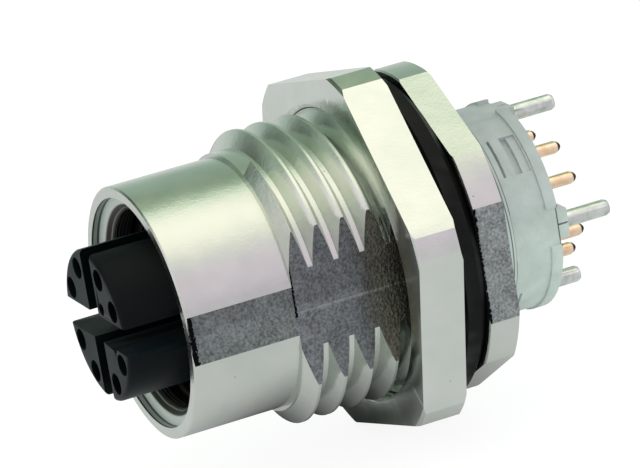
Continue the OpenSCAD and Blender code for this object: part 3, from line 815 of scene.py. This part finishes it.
def makeTurnedPin(name, tones, roughness, darkEndFrom=None):
    # plated turned pin: fine rings round it from the tool, faint stains and, from the given place on, a
    # dark end
    finish = pinFinish
    material, tree = newMaterial(name)
    place = addNode(tree, "ShaderNodeTexCoord").outputs["Object"]
    parts = addNode(tree, "ShaderNodeSeparateXYZ", Vector=place)
    stain = addNode(tree, "ShaderNodeTexNoise", Vector=place, Scale=perMetre(finish["stainSize"]), Detail=4.0)
    tone = fillRamp(addNode(tree, "ShaderNodeValToRGB", Fac=stain.outputs[0]),
                    [(0.35, linear(tones[0])), (0.6, linear(tones[1]))])
    colour = tone.outputs["Color"]
    if darkEndFrom is not None:
        cut = addNode(tree, "ShaderNodeMapRange", Value=parts.outputs["Y"],
                      From_Min=(darkEndFrom - finish["darkEndBlend"]) * metresPerMm,
                      From_Max=(darkEndFrom + finish["darkEndBlend"]) * metresPerMm)
        dark = addNode(tree, "ShaderNodeMix", {"data_type": "RGBA"}, Factor=cut.outputs[0],
                       i6=colour, i7=linear(finish["darkEndColour"]))
        colour = dark.outputs[2]
    along = addNode(tree, "ShaderNodeMath", {"operation": "MULTIPLY"},
                    i0=parts.outputs["Y"], i1=2 * math.pi * perMetre(finish["turnPitch"]))
    marks = addNode(tree, "ShaderNodeMath", {"operation": "SINE"}, i0=along.outputs[0])
    both = addNode(tree, "ShaderNodeMath", {"operation": "ADD"}, i0=marks.outputs[0], i1=stain.outputs[0])
    bump = addNode(tree, "ShaderNodeBump", Height=both.outputs[0], Strength=1.0,
                   Distance=finish["markHeight"] * metresPerMm)
    shader = addNode(tree, "ShaderNodeBsdfPrincipled", Base_Color=colour, Metallic=1.0,
                     Roughness=roughness, Normal=bump.outputs[0])
    addNode(tree, "ShaderNodeOutputMaterial", Surface=shader.outputs[0])
    return material


# mm, from the sizes of the solid; places along the axis count from the flange's front face
housing = {
    "sleeveRadius": 6.9,
    "sleeveLength": 6.05,
    "rimChamferWidth": 0.12,
    "rimChamferDepth": 0.07,
    "rootRadius": 7.1,
    "neckRadius": 7.0,
    "neckLength": 1.7,
    "flatsAcross": 13.54,
    "flangeThickness": 1.8,
    "flangeFlats": 17,
    "flangeCornerRadius": 9.08,
    "flangeChamfer": 0.06,
    "chamferSlope": 1.7,
    "stepRadius": 6.3,
    "stepDepth": 0.45,
    "leadRadius": 5.8,
    "leadDepth": 0.6,
    "plugCoreRadius": 5.46,
    "plugThreadRadius": 6.0,
    "plugPitch": 1.0,
    "plugThreadFrom": 1.6,  # behind the rim
    "plugThreadTurns": 5.6,
    "plugGrooveHalf": 0.42,
    "plugRootHalf": 0.06,
    "plugGrooveSink": 0.1,  # how far the groove's cutter starts inside the bore
    "plugStepsPerTurn": 64,
    "webFront": -7.0,
    "webBack": -5.8,
    "webRadius": 4.2,
    "rearRadius": 5.75,
    "castWithin": 0.01,     # of the flats' planes, where a face has the cast finish
    "boreWithin": 6.31,     # of the axis, where a face has the bore's finish
    "latheSteps": 192,
    "smoothAngle": 20,      # degrees
}

panelThread = {
    "radius": 8.0,
    "pitch": 1.5,
    "flankAngle": 30,      # degrees
    "startTurn": 68,       # degrees from +X towards +Z
    "leadIn": 0.263,
    "leadSlope": 0.5,
    "runOut": 0.6,
    "crestHalf": 0.094,
    "crestRound": 0.03,
    "sink": 0.12,          # how far the ridge's foot reaches into the core
    "stepsPerTurn": 96,
}


def makeHousing(rim, threadFront):
    size = housing
    neckFront = -size["neckLength"]
    flangeBack = size["flangeThickness"]
    bore = size["plugCoreRadius"]
    chamfer = size["flangeChamfer"]
    cornerRadius = size["flangeCornerRadius"]
    faceRadius = cornerRadius - size["chamferSlope"] * chamfer
    body = turnOnLathe("housing", [
        (size["stepRadius"], rim),
        (size["sleeveRadius"] - size["rimChamferWidth"], rim),
        (size["sleeveRadius"], rim + size["rimChamferDepth"]),
        (size["sleeveRadius"], threadFront),
        (size["rootRadius"], threadFront),
        (size["rootRadius"], neckFront),
        (size["neckRadius"], neckFront),
        (size["neckRadius"], 0),
        (faceRadius, 0),
        (cornerRadius, chamfer),
        (cornerRadius, flangeBack - chamfer),
        (faceRadius, flangeBack),
        (size["rearRadius"], flangeBack),
        (size["rearRadius"], size["webBack"]),
        (size["webRadius"], size["webBack"]),
        (size["webRadius"], size["webFront"]),
        (bore, size["webFront"]),
        (bore, rim + size["leadDepth"] + size["leadRadius"] - bore),
        (size["leadRadius"], rim + size["leadDepth"]),
        (size["stepRadius"], rim + size["stepDepth"]),
        (size["stepRadius"], rim),
    ], size["latheSteps"])

    spread = math.tan(math.radians(panelThread["flankAngle"]))
    crest = panelThread["radius"]
    half = panelThread["crestHalf"]
    corner = panelThread["crestRound"]
    footRadius = size["rootRadius"] - panelThread["sink"]
    footHalf = half + (crest - footRadius) * spread
    start = threadFront + panelThread["leadIn"]
    section = [
        (footRadius, start - footHalf),
        (crest - corner, start - half - corner * spread),
        (crest, start - half + corner * spread),
        (crest, start + half - corner * spread),
        (crest - corner, start + half + corner * spread),
        (footRadius, start + footHalf),
        (footRadius, start - footHalf),
    ]
    turns = (neckFront - start - panelThread["runOut"]) / panelThread["pitch"]
    ridge = sweepThread("threadRidge", section, panelThread["startTurn"], panelThread["pitch"], turns,
                        panelThread["stepsPerTurn"])
    # its first turn is coned off by the thread's lead-in chamfer
    foot, outside = size["rootRadius"], size["rootRadius"] + 2
    coned = turnOnLathe("coned", [
        (0, threadFront), (foot, threadFront),
        (outside, threadFront + (outside - foot) * panelThread["leadSlope"]),
        (outside, clear), (0, clear),
    ], size["latheSteps"])
    combine(ridge, coned, "INTERSECT")
    combine(body, ridge, "UNION")

    # the two cast flats through the sleeve and the thread, and the flange's hexagon
    halfFlats = size["flatsAcross"] / 2
    away = 10
    for left, right in ((-away, -halfFlats), (halfFlats, away)):
        cut = makeBlock("flat", (left, rim - clear, -away), (right, neckFront, away))
        combine(body, cut, "DIFFERENCE")
    hexagon = makeHexagon("flangeFlats", size["flangeFlats"], 30, rim - clear, flangeBack + clear)
    combine(body, hexagon, "INTERSECT")

    grooveStart = rim + size["plugThreadFrom"]
    grooveHalf, rootHalf = size["plugGrooveHalf"], size["plugRootHalf"]
    inside = bore - size["plugGrooveSink"]
    groove = sweepThread("plugThread", [
        (inside, grooveStart - grooveHalf),
        (size["plugThreadRadius"], grooveStart - rootHalf),
        (size["plugThreadRadius"], grooveStart + rootHalf),
        (inside, grooveStart + grooveHalf),
        (inside, grooveStart - grooveHalf),
    ], 0, size["plugPitch"], size["plugThreadTurns"], size["plugStepsPerTurn"])
    combine(body, groove, "DIFFERENCE")

    mergeAndTurnOutwards(body)
    finishPiece(body, "connector", nickel, size["smoothAngle"])
    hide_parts("housing")
    body.data.materials.append(castZinc)
    body.data.materials.append(boreWithPaintedShade)
    for face in body.data.polygons:
        centre = face.center / metresPerMm
        facesAside = abs(face.normal.x) > 0.999
        onFlat = abs(abs(centre.x) - halfFlats) < size["castWithin"]
        onFlange = abs(abs(centre.x) - size["flangeFlats"] / 2) < size["castWithin"]
        if facesAside and (onFlat or onFlange):
            face.material_index = 1
        # faces inside the bore take the material with painted shade and painted highlights
        behindRim = centre.y > rim + 0.01
        if behindRim and math.hypot(centre.x, centre.z) < size["boreWithin"]:
            face.material_index = 2
    print("housing made", len(body.data.polygons))


nut = {
    "flats": 19,
    "cornerRadius": 10.6,
    "frontRelief": 0.25,    # mm that the face is turned back within the blank's chamfer
    "frontChamfer": 0.12,
    "backChamfer": 0.12,
    "chamferSlope": 1.7,
    "boreRadius": 8.05,
    "countersink": 0.25,
    "cornerTurn": 13.4,     # degrees from +X towards +Z
    "edge": 0.04,
    "edgeAngle": 25,        # degrees, as is the next
    "smoothAngle": 15,
    "latheSteps": 192,
}


def makeNut():
    low, high = placeOf("hex_nut")
    front, back = low.y + nut["frontRelief"], high.y
    slope = nut["chamferSlope"]
    frontChamfer, backChamfer = nut["frontChamfer"], nut["backChamfer"]
    corner = nut["cornerRadius"]
    body = turnOnLathe("hexNut", [
        (0, front), (corner - slope * frontChamfer, front), (corner, front + frontChamfer),
        (corner, back - backChamfer), (corner - slope * backChamfer, back), (0, back),
    ], nut["latheSteps"])
    hexagon = makeHexagon("nutFlats", nut["flats"], nut["cornerTurn"], front - clear, back + clear)
    combine(body, hexagon, "INTERSECT")
    hole, sink = nut["boreRadius"], nut["countersink"]
    mouth = hole + sink + clear
    bore = turnOnLathe("nutBore", [
        (0, front - clear), (mouth, front - clear), (hole, front + sink),
        (hole, back - sink), (mouth, back + clear), (0, back + clear),
    ], nut["latheSteps"])
    combine(body, bore, "DIFFERENCE")
    mergeAndTurnOutwards(body)
    softenEdges(body, nut["edge"], nut["edgeAngle"])
    finishPiece(body, "nut", nutNickel, nut["smoothAngle"])
    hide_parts("hex_nut")
    print("nut made", len(body.data.polygons))


def dressNode(name, node, material, edge):
    # the solid's own form, with its edges rounded by so many mm
    piece = copyNode(name, node)
    if edge:
        softenEdges(piece, edge)
    finishPiece(piece, "connector", material, evenNormals=edge > 0)
    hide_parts(node)
    print(name, "made", len(piece.data.polygons))
    return piece


carrier = {
    "lobeRadius": 4.15,
    "overlap": 0.02,        # mm that the rounding stands off the lobes' sides
    "faceCut": 0.005,       # mm that it starts in front of their faces
    "corner": 0.32,         # radius of the lobes' front edges
    "cornerSteps": 5,
    "smoothAngle": 24,      # degrees
    "latheSteps": 128,
}


def makeCarrier():
    # the moulded carrier, with its lobes' outer front edges rounded
    piece = copyNode("contactCarrier", "contact_carrier", False)
    face = placeOf("contact_carrier")[0].y
    front = face - carrier["faceCut"]
    corner = carrier["corner"]
    centre = carrier["lobeRadius"] + carrier["overlap"] - corner
    points = [(0, front)]
    for step in range(carrier["cornerSteps"] + 1):
        turn = math.radians(90 * step / carrier["cornerSteps"])
        points.append((centre + corner * math.sin(turn), front + corner * (1 - math.cos(turn))))
    # from there it widens, and leaves the rest of the carrier as it is
    outside, behind = centre + 4, face + 30
    points += [(outside, face + corner + 0.2), (outside, behind), (0, behind)]
    rounding = turnOnLathe("rounding", points, carrier["latheSteps"])
    combine(piece, rounding, "INTERSECT")
    finishPiece(piece, "connector", polyamide, carrier["smoothAngle"])
    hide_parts("contact_carrier")
    print("carrier made", len(piece.data.polygons))


contact = {
    "count": 8,
    "tipShare": 0.6,        # how wide the cut end stays
    "tipDepth": 0.02,       # mm from the end within which its points lie
}


def makeContact(number):
    # its cut end is drawn in, so that its chamfer runs to a blunt point
    piece = dressNode(f"contact{number}", f"contact_{number}", gold, 0)
    places = [point.co for point in piece.data.vertices]
    last = max(place.y for place in places)
    tip = [place.y > last - contact["tipDepth"] * metresPerMm for place in places]
    middle = sum((place for place, isTip in zip(places, tip) if isTip), Vector()) / sum(tip)
    startEditing(piece)
    bpy.ops.mesh.select_mode(type="VERT")
    bpy.ops.mesh.select_all(action="DESELECT")
    stopEditing()
    for point, isTip in zip(piece.data.vertices, tip):
        point.select = isTip
    bpy.ops.object.mode_set(mode="EDIT")
    bpy.ops.transform.resize(value=(contact["tipShare"], 1, contact["tipShare"]), center_override=middle)
    stopEditing()


shieldPinCount = 4

# mm by which the edges of the lesser pieces are rounded
edges = {
    "shieldCross": 0.03,
    "rearInsulator": 0.04,
    "shieldRing": 0.05,
}

rim = placeOf("housing")[0].y
threadFront = rim + housing["sleeveLength"]
pinEnd = placeOf("contact_1")[1].y
nickel = makeSatinNickel("satinNickelOnZinc", nickelFinish["housing"])
nutNickel = makeSatinNickel("satinNickelOnBrass", nickelFinish["nut"])
castZinc = makeCastZinc("nickelOnCastZinc", rim, threadFront)
boreWithPaintedShade = makeBoreWithPaintedShade("nickelInBorePaintedShade", rim)
nitrile = makeMouldedBlack("mouldedNitrile", nitrileFinish)
polyamide = makeMouldedBlack("mouldedPolyamide", polyamideFinish)
tin = makeMattTin("mattTinOnZinc")
gold = makeTurnedPin("goldOnBrass", pinFinish["gold"], pinFinish["goldRoughness"],
                     pinEnd - pinFinish["darkEndLength"])
pinTin = makeTurnedPin("tinOnBrass", pinFinish["tin"], pinFinish["tinRoughness"])
print("materials made")

makeHousing(rim, threadFront)
makeNut()
dressNode("flangeSeal", "flange_seal", nitrile, 0)
makeCarrier()
dressNode("carrierSeal", "carrier_seal", nitrile, 0)
dressNode("shieldCross", "shield_cross", tin, edges["shieldCross"])
dressNode("rearInsulator", "rear_insulator", polyamide, edges["rearInsulator"])
dressNode("shieldRing", "shield_ring", tin, edges["shieldRing"])
for number in range(1, contact["count"] + 1):
    makeContact(number)
for number in range(1, shieldPinCount + 1):
    dressNode(f"shieldPin{number}", f"shield_pin_{number}", pinTin, 0)
